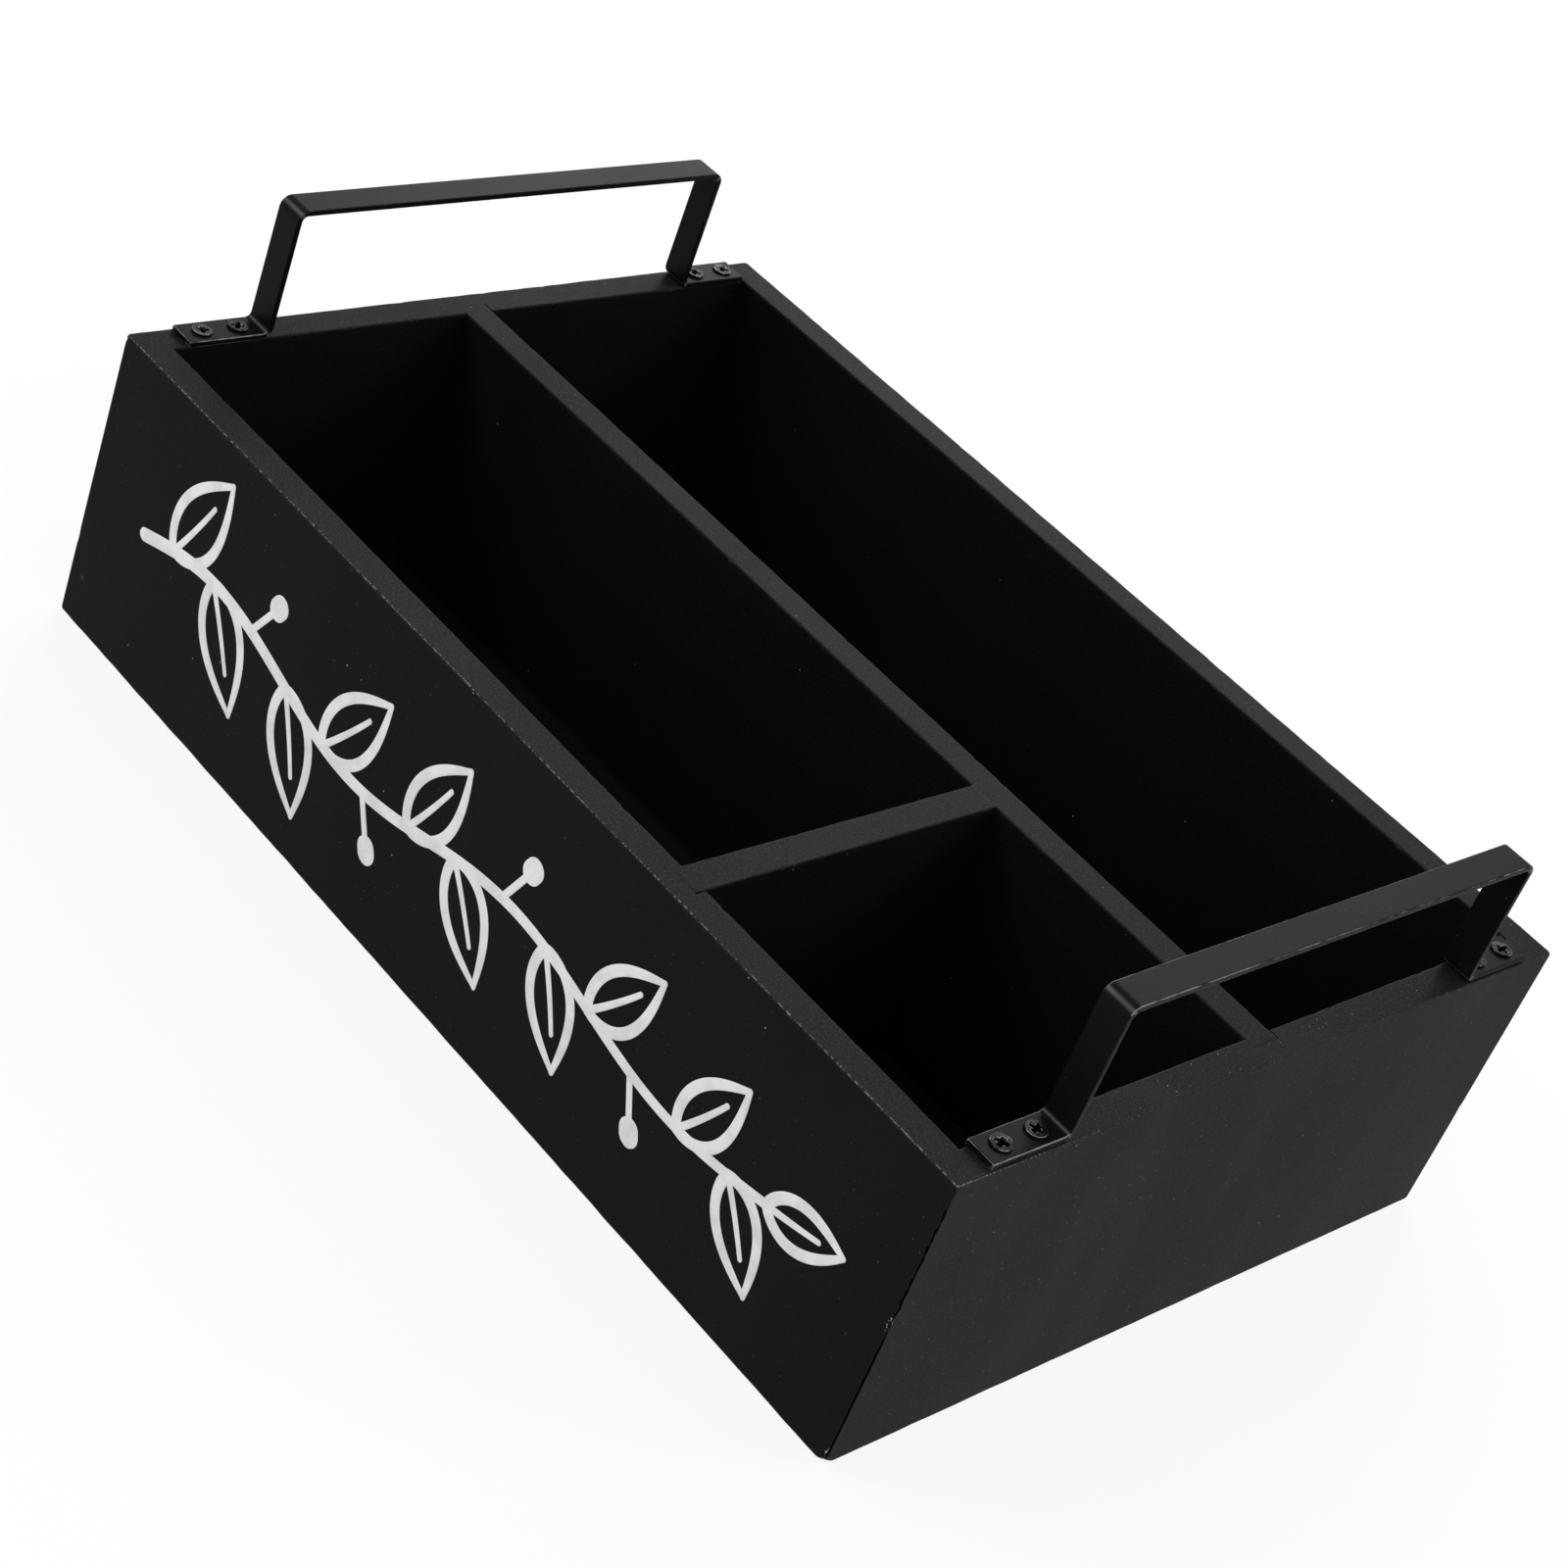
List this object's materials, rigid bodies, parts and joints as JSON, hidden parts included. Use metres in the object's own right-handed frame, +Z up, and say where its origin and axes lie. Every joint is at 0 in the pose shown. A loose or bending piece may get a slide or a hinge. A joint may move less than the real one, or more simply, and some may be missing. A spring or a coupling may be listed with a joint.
{
  "type": "tea bag organizer",
  "caption": "Open rectangular caddy of black painted boards with fixed dividers making unequal compartments and a flat strip handle screwed to the rim of each short end.",
  "frame": {"origin": "middle of the base, on the surface it stands on", "axes": "+X along the front from the left end to the right end, +Y from front to back, +Z up"},
  "size_m": [0.3, 0.2, 0.115],
  "materials": {
    "painted_wood": "satin black paint",
    "coated_steel": "satin black powder coat",
    "screw_steel": "black oxide, slightly glossy",
    "brad_steel": "bright wire",
    "white_print": "thin matt white ink on the front face, in the visual model only"
  },
  "bodies": {
    "root": {"front_panel": "painted_wood", "back_panel": "painted_wood", "left_end_panel": "painted_wood", "right_end_panel": "painted_wood", "bottom_panel": "painted_wood", "long_divider": "painted_wood", "cross_divider": "painted_wood", "left_handle": "coated_steel", "right_handle": "coated_steel", "screw_left_front_outer": "screw_steel", "screw_left_front_inner": "screw_steel", "screw_left_back_outer": "screw_steel", "screw_left_back_inner": "screw_steel", "screw_right_front_outer": "screw_steel", "screw_right_front_inner": "screw_steel", "screw_right_back_outer": "screw_steel", "screw_right_back_inner": "screw_steel", "brad_front_left_low": "brad_steel", "brad_front_left_high": "brad_steel", "brad_front_right_low": "brad_steel", "brad_front_right_high": "brad_steel", "brad_back_left_low": "brad_steel", "brad_back_left_high": "brad_steel", "brad_back_right_low": "brad_steel", "brad_back_right_high": "brad_steel"}
  },
  "joints": []
}
